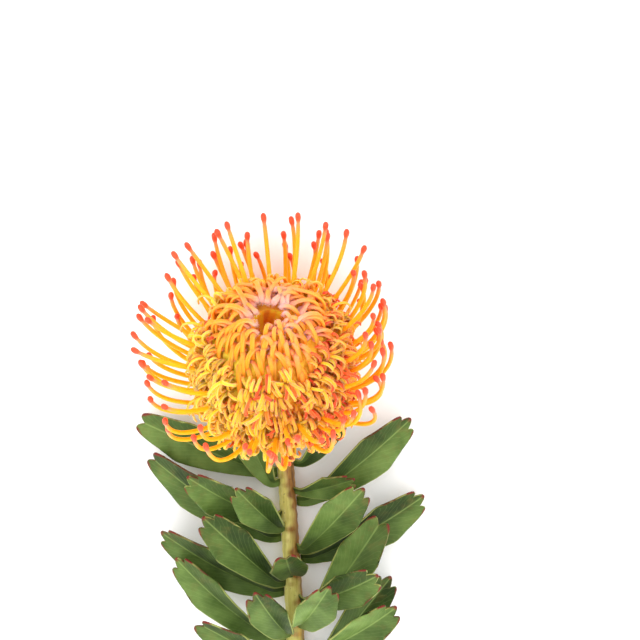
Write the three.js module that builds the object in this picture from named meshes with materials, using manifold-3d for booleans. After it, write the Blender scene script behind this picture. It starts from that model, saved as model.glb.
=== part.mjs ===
// A cut pincushion protea: one flower head on a leafy stem, lying on a flat surface.
// Millimetres. +Z is up, +Y runs from the cut end of the stem to the head, the surface is z = 0.

import * as THREE from "three";
import { mergeVertices } from "three/addons/utils/BufferGeometryUtils.js";
import Module from "manifold-3d";

const wasm = await Module();
wasm.setup();

// Head: its axis starts at the top of the stem and leans back from the surface
const HEAD_BASE = [0.1, 28.3, 19.55];
const HEAD_TILT = 42;
const HEAD_LEAN = 5;
const CORE_PROFILE = [
  [0, 0.3],
  [9, 0.3],
  [17, 4.5],
  [21.5, 11],
  [22.5, 18],
  [22.8, 26],
  [22.5, 34],
  [21.5, 41],
  [19.5, 47],
  [16, 52.5],
  [10.5, 57.5],
  [6.5, 59],
  [5, 50],
  [0, 49],
];

const CORE_SIDES = 24;

// Florets, in a golden-angle spiral from the rim (0) to the crown (1)
const FLORETS = 106;
const GOLDEN_ANGLE = 137.508;
const STYLE_LENGTH = 60;
const STYLE_RADIUS = 1.08;
const PRESENTER_RADIUS = 1.4;
const OPEN_SHARE = 0.5;
const OPEN_SLANT = 0.17;
const RIGHT_BEND = 26;
const CURL_RADIUS = 2.2;
const BUD_SHARE = 0.6;
const BUD_RADIUS = 1.2;
const SHOULDER = [17.5, 47.5];
const HOLLOW = [5, 63.5];
const SOFT_LANDING = 4;

// Involucre: the cup of small bracts under the head
const CUP_HEIGHT = 9;
const CUP_FOOT_RADIUS = 3.8;
const BRACT_RINGS = 2;
const BRACTS_IN_RING = 8;

// Stem
const STEM_LENGTH = 134;
const STEM_BEND = 24;
const STEM_HEADING = 2.4;
const STEM_SLOPE = 0.6;
const STEM_TOP_RADIUS = 3.3;
const STEM_END_RADIUS = 3.9;
const STEM_SIDES = 10;
const CUT_SLANT = 0.5;
const GAP = 0.3;

// Leaves: distance down the stem, heading from +Y (left is negative), rise, roll, length, half width, teeth
const LEAVES = [
  { at: 21, heading: 32, rise: 15, roll: 26, length: 40, half: 6.8, teeth: 2 },
  { at: 25, heading: -66, rise: 5, roll: -16, length: 64, half: 9.6, teeth: 2 },
  { at: 29, heading: -24, rise: 14, roll: -14, length: 34, half: 6.8, teeth: 2 },
  { at: 33, heading: 68, rise: 34, roll: 22, length: 33, half: 6.4, teeth: 3 },
  { at: 38, heading: 50, rise: 5, roll: 18, length: 62, half: 9.4, teeth: 3 },
  { at: 43, heading: -58, rise: 28, roll: -26, length: 52, half: 9, teeth: 3 },
  { at: 48, heading: -38, rise: 40, roll: -8, length: 42, half: 7.8, teeth: 3 },
  { at: 53, heading: -54, rise: 5, roll: -24, length: 68, half: 9.8, teeth: 2 },
  { at: 58, heading: 38, rise: 31, roll: 10, length: 52, half: 8.8, teeth: 3 },
  { at: 63, heading: 60, rise: 2, roll: 26, length: 60, half: 9.4, teeth: 3 },
  { at: 68, heading: -10, rise: 60, roll: 0, length: 34, half: 8, teeth: 2 },
  { at: 72, heading: -42, rise: 27, roll: -14, length: 56, half: 9, teeth: 3 },
  { at: 77, heading: -60, rise: 5, roll: -22, length: 60, half: 9.4, teeth: 3 },
  { at: 80, heading: 58, rise: 40, roll: 26, length: 50, half: 9.2, teeth: 3 },
  { at: 87, heading: 34, rise: 9, roll: 10, length: 58, half: 9.2, teeth: 2 },
  { at: 90, heading: 26, rise: 50, roll: 10, length: 48, half: 8.6, teeth: 3 },
  { at: 94, heading: -28, rise: 44, roll: -12, length: 44, half: 8.4, teeth: 3 },
  { at: 98, heading: -48, rise: 8, roll: -26, length: 62, half: 9.4, teeth: 3 },
  { at: 103, heading: 54, rise: 27, roll: 26, length: 54, half: 9.2, teeth: 3 },
  { at: 107, heading: -56, rise: 26, roll: -20, length: 50, half: 8.8, teeth: 2 },
  { at: 111, heading: 38, rise: 3, roll: 12, length: 56, half: 9, teeth: 3 },
];
const LEAF_THICKNESS = 0.8;
const LEAF_ELBOW = 8;
const LOBE_DEPTH = 3.6;
const LEAF_STEPS = 7;
const LEAF_COLUMNS = 6;

const radians = THREE.MathUtils.degToRad;
const mix = THREE.MathUtils.lerp;
const smooth = (x) => THREE.MathUtils.smoothstep(x, 0, 1);

// A repeatable number from 0 to 1 for piece n and purpose k
function chance(n, k) {
  const wave = Math.sin(n * 12.9898 + k * 78.233) * 43758.5453;
  return wave - Math.floor(wave);
}

// Straight lines between evenly spaced values
function between(values, x) {
  const place = THREE.MathUtils.clamp(x, 0, 1) * (values.length - 1);
  const low = Math.min(Math.floor(place), values.length - 2);
  return mix(values[low], values[low + 1], place - low);
}

// The head's own directions: its axis, and two across it (the second points at the surface)
const lean = radians(HEAD_LEAN);
const tilt = radians(HEAD_TILT);
const headBase = new THREE.Vector3(...HEAD_BASE);
const axis = new THREE.Vector3(
  -Math.sin(lean) * Math.cos(tilt),
  Math.cos(lean) * Math.cos(tilt),
  Math.sin(tilt),
);
const across = new THREE.Vector3(Math.cos(lean), Math.sin(lean), 0);
const downward = new THREE.Vector3(
  -Math.sin(lean) * Math.sin(tilt),
  Math.cos(lean) * Math.sin(tilt),
  -Math.cos(tilt),
);

// A point of the head from its distance off the axis, height along it, sideways shift and azimuth
function headPoint(r, s, sideways, azimuth) {
  const cos = Math.cos(azimuth);
  const sin = Math.sin(azimuth);
  return headBase
    .clone()
    .addScaledVector(axis, s)
    .addScaledVector(across, r * cos - sideways * sin)
    .addScaledVector(downward, r * sin + sideways * cos);
}

// What would pass through the surface bends along it
function settle(point, radius) {
  if (point.z < SOFT_LANDING) {
    const room = SOFT_LANDING - radius;
    point.z = radius + room * Math.exp((point.z - SOFT_LANDING) / room);
  }
  return point;
}

// A closed tube through the points, with a radius at each; "side" fixes how the section is turned
function tube(points, radii, side, sides = 3) {
  const last = points.length - 1;
  let geometry = new THREE.CylinderGeometry(1, 1, last, sides, last);
  geometry.deleteAttribute("normal");
  geometry.deleteAttribute("uv");
  geometry = mergeVertices(geometry);
  const frames = points.map((point, k) => {
    const ahead = points[Math.min(k + 1, last)];
    const behind = points[Math.max(k - 1, 0)];
    const along = ahead.clone().sub(behind).normalize();
    const inward = along.clone().cross(side).normalize();
    return { point, inward, out: inward.clone().cross(along) };
  });
  const position = geometry.attributes.position;
  for (let i = 0; i < position.count; i += 1) {
    const k = Math.round(position.getY(i) + last / 2);
    const { point, inward, out } = frames[k];
    const placed = point
      .clone()
      .addScaledVector(inward, position.getX(i) * radii[k])
      .addScaledVector(out, position.getZ(i) * radii[k]);
    position.setXYZ(i, placed.x, placed.y, placed.z);
  }
  return geometry;
}

// A closed geometry as a solid, and a solid as a geometry
function solid(geometry) {
  return new wasm.Manifold(
    new wasm.Mesh({
      numProp: 3,
      vertProperties: new Float32Array(geometry.attributes.position.array),
      triVerts: new Uint32Array(geometry.index.array),
    }),
  );
}

function joined(geometries) {
  const whole = geometries.map(solid).reduce((sum, piece) => sum.add(piece));
  const { vertProperties, triVerts } = whole.getMesh();
  const geometry = new THREE.BufferGeometry();
  geometry.setAttribute("position", new THREE.BufferAttribute(vertProperties, 3));
  geometry.setIndex(new THREE.BufferAttribute(triVerts, 1));
  return geometry;
}

// A turned shape on the head's axis, with an optional relief added to its radius
function turned(profile, sides, relief = () => 0) {
  const outline = profile.map(([r, s]) => new THREE.Vector2(r, s));
  let geometry = new THREE.LatheGeometry(outline, sides);
  geometry.deleteAttribute("normal");
  geometry.deleteAttribute("uv");
  geometry = mergeVertices(geometry);
  const position = geometry.attributes.position;
  for (let i = 0; i < position.count; i += 1) {
    const x = position.getX(i);
    const z = position.getZ(i);
    const r = Math.hypot(x, z);
    const turn = Math.atan2(-z, x);
    const raised = r + relief(r, position.getY(i), turn);
    const placed = headPoint(raised, position.getY(i), 0, turn);
    position.setXYZ(i, placed.x, placed.y, placed.z);
  }
  return geometry;
}

// Packed bases of the florets, as low mounds on the core in crossing spirals
function packedBase(r, s, turn) {
  const mound = Math.cos(6 * turn + 0.4 * s) * Math.cos(6 * turn - 0.4 * s);
  return 1.4 * mound * smooth((r - 10) / 8);
}

// Florets
// Each stands on the core at (r, s) and leaves it at an angle from the head's axis.
function floret(i) {
  const f = (i + 0.5) / FLORETS;
  const turn = radians(i * GOLDEN_ANGLE + 7 * (chance(i, 1) - 0.5));
  const opened = OPEN_SHARE + OPEN_SLANT * Math.sin(turn) + 0.08 * (chance(i, 2) - 0.5);
  let kind = "rolled";
  if (f > BUD_SHARE) {
    kind = "bud";
  } else if (f < opened) {
    kind = "open";
  }
  return {
    i,
    f,
    turn,
    kind,
    r: 7 - 3.5 * f,
    s: 8 + 44 * f,
    angle: 95 - 56 * f - 20 * f * f,
    tubeLength: between([20, 25, 28, 28, 18], f),
  };
}

// The curve of an open style: it leaves the head, then bends up towards the axis, most on the right
function styleCurve({ i, f, turn, r, s, angle }) {
  const first = angle + 8 * (chance(i, 3) - 0.5);
  const crowded = RIGHT_BEND * Math.max(0, Math.cos(turn));
  const bend = 112 - 196 * f + 86 * f * f + crowded + 24 * (chance(i, 4) - 0.5);
  const length = STYLE_LENGTH * (0.95 + 0.1 * chance(i, 5));
  const sway = 16 * (chance(i, 6) - 0.5);
  const steps = 60;
  const curve = [];
  let at = [r, s];
  for (let k = 0; k <= steps; k += 1) {
    const t = k / steps;
    curve.push(headPoint(at[0], at[1], sway * t * t, turn));
    const heading = radians(first - bend * (t + 0.5 / steps) ** 2);
    const step = length / steps;
    at = [at[0] + step * Math.sin(heading), at[1] + step * Math.cos(heading)];
  }
  return (t) => {
    const place = t * steps;
    const low = Math.min(Math.floor(place), steps - 1);
    return curve[low].clone().lerp(curve[low + 1], place - low);
  };
}

function sideOf(turn) {
  return headPoint(0, 0, 1, turn).sub(headBase);
}

function openStyle(one) {
  const curve = styleCurve(one);
  const root = (0.5 * one.tubeLength) / STYLE_LENGTH;
  const places = [root, 0.45, 0.63, 0.79, 0.925, 0.952, 0.985, 1];
  const slim = [1.05, 1.05, 1, 0.95, 0.85].map((part) => part * STYLE_RADIUS);
  const tip = [0.9, 1, 0.4].map((part) => part * PRESENTER_RADIUS);
  const points = places.map((t) => settle(curve(t), STYLE_RADIUS));
  return tube(points, [...slim, ...tip], sideOf(one.turn));
}

// A strip of the flower tube that has split open and rolled up, towards the crown or away from it
function curl(one, first) {
  const { i, turn } = one;
  const curve = styleCurve(one);
  const start = curve((0.82 * one.tubeLength) / STYLE_LENGTH);
  const forward = curve((1.1 * one.tubeLength) / STYLE_LENGTH).sub(start).normalize();
  const roll = radians(first + 90 * (chance(i, 7) - 0.5));
  const side = sideOf(turn);
  const outward = side.clone().cross(forward).normalize();
  const away = outward.multiplyScalar(Math.cos(roll)).addScaledVector(side, Math.sin(roll));
  const radius = CURL_RADIUS * (0.85 + 0.4 * chance(i, 8));
  const points = [start];
  if (one.kind === "rolled") {
    points.unshift(curve((0.45 * one.tubeLength) / STYLE_LENGTH));
  }
  for (const degrees of [75, 150, 235]) {
    const point = start.clone().addScaledVector(forward, 2);
    point.addScaledVector(forward, radius * Math.sin(radians(degrees)));
    point.addScaledVector(away, 0.8 + radius * (1 - Math.cos(radians(degrees))));
    points.push(point);
  }
  const radii = [1.2, 1.2, 1.6, 1.6, 1.1].slice(-points.length);
  const turnAxis = forward.clone().cross(away);
  return tube(points.map((point) => settle(point, 1.2)), radii, turnAxis);
}

// An unopened floret: its style bows out of it, and the tip, still held, points back at the hollow
// of the crown. In front they are narrow hairpins, on the other sides wider bows.
function bud(one) {
  const { i, f, turn } = one;
  const inner = (f - BUD_SHARE) / (1 - BUD_SHARE);
  const tipR = Math.sqrt(mix(SHOULDER[0] ** 2, HOLLOW[0] ** 2, inner));
  const drop = HOLLOW[1] - SHOULDER[1];
  const tipS = HOLLOW[1] - drop * ((tipR - HOLLOW[0]) / (SHOULDER[0] - HOLLOW[0])) ** 1.6;
  const wide = smooth(0.6 + 0.8 * Math.sin(turn)) * (0.3 + 0.7 * chance(i, 4)) + 0.12 * chance(i, 5);
  const width = mix(4.5, mix(8, 17, inner), wide);
  const lift = radians(mix(30, 5, inner) + 15 * wide + 12 * (chance(i, 3) - 0.5));
  const held = radians(mix(80, 30, wide));
  const skew = 0.9 * (chance(i, 6) - 0.5);
  const leaves = [tipR + width, tipS - mix(15, 12, wide)];
  const reach = mix(17, 13, wide);
  const back = mix(9, 11, wide);
  const bow = new THREE.CubicBezierCurve(
    new THREE.Vector2(...leaves),
    new THREE.Vector2(leaves[0] + reach * Math.sin(lift), leaves[1] + reach * Math.cos(lift)),
    new THREE.Vector2(tipR + back * Math.cos(held), tipS + back * Math.sin(held)),
    new THREE.Vector2(tipR, tipS),
  );
  const flat = [[0.62 * leaves[0], leaves[1] - 9]];
  for (const t of [0, 0.25, 0.45, 0.65, 0.83, 1]) {
    flat.push(bow.getPoint(t).toArray());
  }
  const points = flat.map(([rr, ss]) => {
    const point = headPoint(rr, ss, skew * (leaves[0] - rr), turn);
    return settle(point, BUD_RADIUS);
  });
  const radii = [1.1, 1, 1, 1, 0.95, 1.15, 0.9].map((part) => part * BUD_RADIUS);
  return tube(points, radii, sideOf(turn));
}

// Bracts: short scales sunk in the cup, in rings that overlap upwards
function cupRadius(s) {
  return between([CUP_FOOT_RADIUS, 5.2, 7.2, 9.3], (s + CUP_HEIGHT) / CUP_HEIGHT);
}

function bract(ring, n) {
  const turn = ((n + 0.5 * (ring % 2)) / BRACTS_IN_RING) * 2 * Math.PI;
  const s = -CUP_HEIGHT + 1 + ring * 3;
  const heights = [0, 2.2, 4.4];
  const points = heights.map((h, k) => {
    const top = Math.min(s + h, -0.4);
    return headPoint(cupRadius(top) + 0.35 * k, top, 0, turn);
  });
  return tube(points, [1.2, 1.9, 0.5], sideOf(turn));
}

// Stem: it comes straight out of the cup, then bends down to lie along the surface
function stemPath(step) {
  const points = [];
  const top = headPoint(0, -CUP_HEIGHT - GAP, 0, 0);
  for (let d = 0; d <= STEM_LENGTH; d += step) {
    points.push({ d, point: top.clone() });
    const bend = smooth((d + step / 2) / STEM_BEND);
    const slope = radians(mix(HEAD_TILT, STEM_SLOPE, bend));
    const wave = 1.1 * Math.sin((d / STEM_LENGTH) * 5.2);
    const heading = radians(mix(HEAD_LEAN, STEM_HEADING, bend) + wave);
    top.x += step * Math.sin(heading) * Math.cos(slope);
    top.y -= step * Math.cos(heading) * Math.cos(slope);
    top.z -= step * Math.sin(slope);
  }
  return points;
}

const stemPoints = stemPath(1);

function stemAt(d) {
  return stemPoints[Math.min(Math.round(d), stemPoints.length - 1)].point;
}

function stemRadius(d) {
  let radius = mix(STEM_TOP_RADIUS, STEM_END_RADIUS, d / STEM_LENGTH);
  for (const leaf of LEAVES) {
    radius += 0.3 * Math.exp(-(((d - leaf.at - 1) / 1.6) ** 2));
  }
  return radius;
}

function stemGeometry() {
  const places = [0, 3, 7, 11, 15, 19, 23];
  for (const leaf of LEAVES) {
    places.push(leaf.at + 1);
  }
  places.push(119, 126, STEM_LENGTH);
  places.sort((a, b) => a - b);
  const points = places.map((d) => stemAt(d).clone());
  const radii = places.map(stemRadius);
  const geometry = tube(points, radii, new THREE.Vector3(1, 0, 0), STEM_SIDES);

  // The cut is slanted: its lower side reaches further
  const end = points[points.length - 1];
  const position = geometry.attributes.position;
  for (let i = 0; i < position.count; i += 1) {
    if (position.getY(i) < end.y + 0.5) {
      position.setY(i, position.getY(i) + CUT_SLANT * (position.getZ(i) - end.z));
    }
  }
  return geometry;
}

// A leaf: a sessile blade, broadest past its middle, with a blunt toothed tip
function leafGeometry(leaf, n) {
  const { at, length, half, teeth } = leaf;
  const heading = radians(leaf.heading);
  const rise = radians(leaf.rise);
  const aim = new THREE.Vector3(
    Math.sin(heading) * Math.cos(rise),
    Math.cos(heading) * Math.cos(rise),
    Math.sin(rise),
  );
  const stemway = stemAt(at - 2).clone().sub(stemAt(at + 2)).normalize();
  const outward = aim.clone().addScaledVector(stemway, -aim.dot(stemway)).normalize();
  const start = stemAt(at).clone().addScaledVector(outward, stemRadius(at) + GAP + 0.15);
  const up = new THREE.Vector3(0, 0, 1).applyAxisAngle(aim, radians(leaf.roll));
  const bow = radians(26 + 14 * (chance(n, 11) - 0.5));
  const twist = radians(36 * (chance(n, 14) - 0.5));
  const crease = 0.18 + 0.3 * chance(n, 15);
  const sweep = radians(Math.sign(leaf.heading) * -10 * chance(n, 12));

  // The middle line of the blade, with its width and face directions
  const rows = [];
  const place = start.clone();
  const fine = 40;
  for (let k = 0; k <= fine; k += 1) {
    const t = k / fine;
    const along = outward.clone().lerp(aim, smooth((t * length) / LEAF_ELBOW)).normalize();
    const wide = along.clone().cross(up).normalize();
    along.applyAxisAngle(wide, bow * (0.5 - t));
    along.applyAxisAngle(up, sweep * (t - 0.5));
    wide.applyAxisAngle(along, twist * t);
    const face = wide.clone().cross(along).normalize();
    rows.push({ place: place.clone(), wide, face, along });
    place.addScaledVector(along, length / fine);
  }

  let blade = new THREE.PlaneGeometry(2, 1, LEAF_COLUMNS, LEAF_STEPS);
  blade.deleteAttribute("normal");
  blade.deleteAttribute("uv");
  blade = mergeVertices(blade);
  const position = blade.attributes.position;
  const count = position.count;
  const both = new Float32Array(count * 6);
  for (let i = 0; i < count; i += 1) {
    const v = position.getX(i);
    const t = position.getY(i) + 0.5;
    const notch = Math.cos((Math.PI / 2) * teeth * (v + 1)) ** 2;
    const reach = 1 - 0.2 * Math.abs(v) ** 3 - (LOBE_DEPTH / length) * notch;
    const down = t * mix(1, reach, smooth((t - 0.5) / 0.5));
    const row = rows[Math.min(Math.round(down * fine), fine)];
    const width = half * between([0.24, 0.36, 0.56, 0.76, 0.92, 1, 0.99, 0.88], t);
    const fold = crease * half * Math.abs(v) ** 1.2 * smooth(t * 3) * mix(1, 0.6, smooth(2 * t - 1));
    const wave = 0.5 * v * Math.sin(t * 7 + n) * smooth(t * 2);
    const shift = down * fine - Math.round(down * fine);
    const thick = LEAF_THICKNESS * mix(1.5, 1, smooth(t * 4));
    for (const [layer, lift] of [[0, 0.5], [1, -0.5]]) {
      const point = row.place
        .clone()
        .addScaledVector(row.along, (shift * length) / fine)
        .addScaledVector(row.wide, v * width)
        .addScaledVector(row.face, fold + wave + lift * thick);
      both.set([point.x, point.y, point.z], (layer * count + i) * 3);
    }
  }

  // Two faces with the same triangles, and the rim between them
  const front = Array.from(blade.index.array);
  const index = [...front];
  const edges = new Map();
  for (let k = 0; k < front.length; k += 3) {
    const [a, b, c] = front.slice(k, k + 3);
    index.push(a + count, c + count, b + count);
    for (const [p, q] of [[a, b], [b, c], [c, a]]) {
      edges.set(`${p} ${q}`, [p, q]);
    }
  }
  for (const [p, q] of edges.values()) {
    if (!edges.has(`${q} ${p}`)) {
      index.push(q, p, p + count, q, p + count, q + count);
    }
  }
  const geometry = new THREE.BufferGeometry();
  geometry.setAttribute("position", new THREE.BufferAttribute(both, 3));
  geometry.setIndex(index);
  return geometry;
}

// The assembly
const protea = new THREE.Group();

function add(name, geometry, color, roughness) {
  const material = new THREE.MeshStandardMaterial({ color, roughness, metalness: 0 });
  geometry.computeVertexNormals();
  const mesh = new THREE.Mesh(geometry, material);
  mesh.name = name;
  protea.add(mesh);
}

const headPieces = [turned(CORE_PROFILE, CORE_SIDES, packedBase)];
for (let i = 0; i < FLORETS; i += 1) {
  const one = floret(i);
  if (one.kind === "bud") {
    headPieces.push(bud(one));
  } else if (one.kind === "open") {
    headPieces.push(openStyle(one), curl(one, 180 * (i % 2)));
  } else {
    headPieces.push(curl(one, 0), curl(one, 180));
  }
}
add("flower_head", joined(headPieces), 0xf59a1c, 0.5);

const cupProfile = [[0, -CUP_HEIGHT]];
for (let k = 0; k <= 3; k += 1) {
  const s = -CUP_HEIGHT + (k * CUP_HEIGHT) / 3;
  cupProfile.push([cupRadius(s), s]);
}
cupProfile.push([0, 0]);
const cupPieces = [turned(cupProfile, 14)];
for (let ring = 0; ring < BRACT_RINGS; ring += 1) {
  for (let n = 0; n < BRACTS_IN_RING; n += 1) {
    cupPieces.push(bract(ring, n));
  }
}
add("involucre", joined(cupPieces), 0xb9b866, 0.7);

add("stem", stemGeometry(), 0x9a9a3c, 0.6);

LEAVES.forEach((leaf, n) => {
  const name = `leaf_${String(n + 1).padStart(2, "0")}`;
  add(name, leafGeometry(leaf, n), 0x47703a, 0.55);
});

export default protea;
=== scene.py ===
"""A cut pincushion protea, lying on a pale surface and seen from above.

Sizes are in millimetres and are turned to metres where a point is placed. +Y runs from the
cut end of the stem to the flower head, and z = 0 is the surface.
"""

import math

import bmesh
import bpy
from mathutils import Matrix, Vector


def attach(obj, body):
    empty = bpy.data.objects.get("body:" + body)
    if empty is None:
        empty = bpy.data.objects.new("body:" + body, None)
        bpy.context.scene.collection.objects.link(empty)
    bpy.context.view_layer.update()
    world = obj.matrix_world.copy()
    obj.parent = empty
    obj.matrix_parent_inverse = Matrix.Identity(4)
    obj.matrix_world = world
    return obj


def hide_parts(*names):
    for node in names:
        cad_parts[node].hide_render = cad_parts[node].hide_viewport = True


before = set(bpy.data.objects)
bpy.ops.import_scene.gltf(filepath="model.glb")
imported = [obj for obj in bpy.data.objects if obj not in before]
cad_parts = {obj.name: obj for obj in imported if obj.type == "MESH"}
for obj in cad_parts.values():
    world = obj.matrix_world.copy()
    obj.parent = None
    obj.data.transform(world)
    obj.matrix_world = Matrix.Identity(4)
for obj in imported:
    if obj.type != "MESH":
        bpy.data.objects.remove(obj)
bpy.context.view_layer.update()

MM = 0.001

# Head, as in the construction model: its foot, and how its axis tilts out of the surface and leans
HEAD_BASE = Vector((0.1, 28.3, 19.55))
HEAD_TILT = math.radians(42)
HEAD_LEAN = math.radians(5)
FLORETS = 106
GOLDEN_ANGLE = 137.508
STYLE_LENGTH = 60
STYLE_RADIUS = 1.08
PRESENTER_RADIUS = 1.4
# Florets up to this share of the way to the crown have opened, with a slant that takes it higher on
# the far side, at the top of the picture; from BUD_SHARE on they are still bowed buds
OPEN_SHARE = 0.5
OPEN_SLANT = 0.17
BUD_SHARE = 0.6
# Degrees that the styles on the right bend more than the others
RIGHT_BEND = 26
BUD_RADIUS = 1.2
# The outermost and innermost buds' tips, as distance off the axis and height along it
SHOULDER = (17.5, 47.5)
HOLLOW = (4.6, 63.5)
# The construction model holds every second floret of the real head. These are the chances that a
# place half a step on holds a floret too, and that one a quarter on holds more curls or a bud.
# From YOUNGEST_FROM of the way to the crown, each place three quarters on holds a small bud
HALFWAY_CHANCE = 0.82
QUARTER_CHANCE = 0.8
YOUNGEST_FROM = 0.74
# Where the spiral of florets leaves the core bare: azimuth, and how far from foot to crown
BARE_PLACES = [
    (200, 0.2), (221, 0.28), (250, 0.13), (258, 0.45), (32, 0.22), (292, 0.24), (308, 0.19),
    (152, 0.4), (71, 0.39), (53, 0.32), (330, 0.44),
]
# Points lower than this bend along the surface
SOFT_LANDING = 4
# Outline of the core, as distance off the axis and height along it
CORE_PROFILE = [
    (0, 0.3), (9, 0.3), (17, 4.5), (21, 11), (22, 18), (22.3, 26), (22, 34),
    (21, 41), (19, 47), (15.6, 52.5), (10.3, 57.3), (6.6, 58.8), (5, 50), (0, 49),
]

# Involucre, stem and leaves
CUP_HEIGHT = 9
CUP_RADII = [3.8, 5.2, 7.2, 9.3]
CUP_RINGS = 10
BRACT_ROWS = 5
BRACTS_IN_ROW = 13
BRACT_WIDTHS = [0.7, 1.15, 1.4, 1.35, 1.05, 0.6, 0.15]
STEM_LENGTH = 134
STEM_BEND = 24
STEM_HEADING = math.radians(2.4)
STEM_SLOPE = math.radians(0.6)
STEM_TOP_RADIUS = 3.3
STEM_END_RADIUS = 3.9
CUT_SLANT = 0.5
GAP = 0.3
# A leaf leaves the stem squarely and turns to its own heading over this length
LEAF_ELBOW = 8
LOBE_DEPTH = 3.6
LEAF_THICKNESS = 0.75
# Half width from foot to tip, as a share of the greatest
LEAF_OUTLINE = [0.24, 0.36, 0.56, 0.76, 0.92, 1, 0.99, 0.88]
# Distance down the stem, heading from +Y, rise, roll, length, half width, teeth
LEAVES = [
    (21, 32, 15, 26, 40, 6.8, 2),
    (25, -66, 5, -16, 64, 9.6, 2),
    (29, -24, 14, -14, 34, 6.8, 2),
    (33, 68, 34, 22, 33, 6.4, 3),
    (38, 50, 5, 18, 62, 9.4, 3),
    (43, -58, 28, -26, 52, 9, 3),
    (48, -38, 40, -8, 42, 7.8, 3),
    (53, -54, 5, -24, 68, 9.8, 2),
    (58, 38, 31, 10, 52, 8.8, 3),
    (63, 60, 2, 26, 60, 9.4, 3),
    (68, -10, 60, 0, 34, 8, 2),
    (72, -42, 27, -14, 56, 9, 3),
    (77, -60, 5, -22, 60, 9.4, 3),
    (80, 58, 40, 26, 50, 9.2, 3),
    (87, 34, 9, 10, 58, 9.2, 2),
    (90, 26, 50, 10, 48, 8.6, 3),
    (94, -28, 44, -12, 44, 8.4, 3),
    (98, -48, 8, -26, 62, 9.4, 3),
    (103, 54, 27, 26, 54, 9.2, 3),
    (107, -56, 26, -20, 50, 8.8, 2),
    (111, 38, 3, 12, 56, 9, 3),
]

# Camera: the crown of the head falls on this pixel, at this scale
IMAGE_PIXELS = 640
CROWN_PIXEL = (268, 312)
CROWN_HEIGHT = 66
MM_PER_PIXEL = 0.40
CAMERA_DISTANCE = 1300
CAMERA_ELEVATION = math.radians(100)
SENSOR_WIDTH = 36

# Floor and lamps, in metres: each lamp's name, place and size, and its power in watts
FLOOR_REACH = 3.0
LAMPS = [
    ("key", (-1.0, -0.4, 1.4), 1.4, 7.0),
    ("fill", (0.9, 0.2, 1.3), 1.4, 3.0),
    ("low", (0.1, -1.3, 0.8), 1.2, 4.0),
]
LAMP_TARGET = Vector((0, 0, 0.03))
WORLD_STRENGTH = 1.68


def mix(a, b, x):
    return a + (b - a) * x


def clamp(x):
    return min(max(x, 0.0), 1.0)


def smooth(x):
    x = clamp(x)
    return x * x * (3 - 2 * x)


def chance(n, k):
    """A repeatable number from 0 to 1 for piece n and purpose k."""
    wave = math.sin(n * 12.9898 + k * 78.233) * 43758.5453
    return wave - math.floor(wave)


def between(values, x):
    """Straight lines between evenly spaced values."""
    place = clamp(x) * (len(values) - 1)
    low = min(math.floor(place), len(values) - 2)
    return mix(values[low], values[low + 1], place - low)


AXIS = Vector((
    -math.sin(HEAD_LEAN) * math.cos(HEAD_TILT),
    math.cos(HEAD_LEAN) * math.cos(HEAD_TILT),
    math.sin(HEAD_TILT),
))
ACROSS = Vector((math.cos(HEAD_LEAN), math.sin(HEAD_LEAN), 0))
DOWNWARD = Vector((
    -math.sin(HEAD_LEAN) * math.sin(HEAD_TILT),
    math.cos(HEAD_LEAN) * math.sin(HEAD_TILT),
    -math.cos(HEAD_TILT),
))


def head_point(r, s, sideways, azimuth):
    """A point of the head: distance off its axis, height along it, sideways shift, azimuth."""
    cos = math.cos(azimuth)
    sin = math.sin(azimuth)
    place = HEAD_BASE + AXIS * s
    place += ACROSS * (r * cos - sideways * sin)
    place += DOWNWARD * (r * sin + sideways * cos)
    return place


def side_of(turn):
    return head_point(0, 0, 1, turn) - HEAD_BASE


def settle(point, radius):
    """What would pass through the surface bends along it."""
    if point.z < SOFT_LANDING:
        room = SOFT_LANDING - radius
        point.z = radius + room * math.exp((point.z - SOFT_LANDING) / room)
    return point


# Meshes

# What each point carries for its material: its place along and across its piece, and a tone
CARRIED = ("along", "across", "tone")


def new_bmesh():
    bm = bmesh.new()
    for name in CARRIED:
        bm.verts.layers.float.new(name)
    return bm


def layers_of(bm):
    return [bm.verts.layers.float[name] for name in CARRIED]


def tube_template(sides, rings):
    """A straight closed tube of unit radius, with its rings at z = 0, 1, 2 and so on."""
    bm = bmesh.new()
    bmesh.ops.create_circle(bm, cap_ends=False, radius=1, segments=sides)
    edges = list(bm.edges)
    ends = list(edges)
    for _ in range(rings - 1):
        grown = bmesh.ops.extrude_edge_only(bm, edges=edges)["geom"]
        verts = [item for item in grown if isinstance(item, bmesh.types.BMVert)]
        fresh = set(verts)
        edges = [
            item for item in grown
            if isinstance(item, bmesh.types.BMEdge) and fresh.issuperset(item.verts)
        ]
        bmesh.ops.translate(bm, vec=(0, 0, 1), verts=verts)
    bmesh.ops.holes_fill(bm, edges=ends + edges, sides=0)
    bmesh.ops.recalc_face_normals(bm, faces=bm.faces)
    mesh = bpy.data.meshes.new("tube_template")
    bm.to_mesh(mesh)
    bm.free()
    return mesh


def bend_tube(bm, template, points, radii, side, flat=1.0, span=(0.0, 1.0), tone=0.5):
    """Add a tube that follows the points; flat thins it in the plane it bends in."""
    old = len(bm.verts)
    bm.from_mesh(template)
    bm.verts.ensure_lookup_table()
    along_layer, across_layer, tone_layer = layers_of(bm)
    last = len(points) - 1
    frames = []
    for k, point in enumerate(points):
        along = (points[min(k + 1, last)] - points[max(k - 1, 0)]).normalized()
        inward = along.cross(side).normalized()
        frames.append((point, inward, along.cross(inward)))
    for vert in bm.verts[old:]:
        k = round(vert.co.z)
        point, inward, out = frames[k]
        across = inward * (vert.co.x * radii[k] * flat) + out * (vert.co.y * radii[k])
        vert[along_layer] = mix(span[0], span[1], k / last)
        vert[across_layer] = abs(vert.co.y)
        vert[tone_layer] = tone
        vert.co = (point + across) * MM
    return bm.verts[old:]


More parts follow.
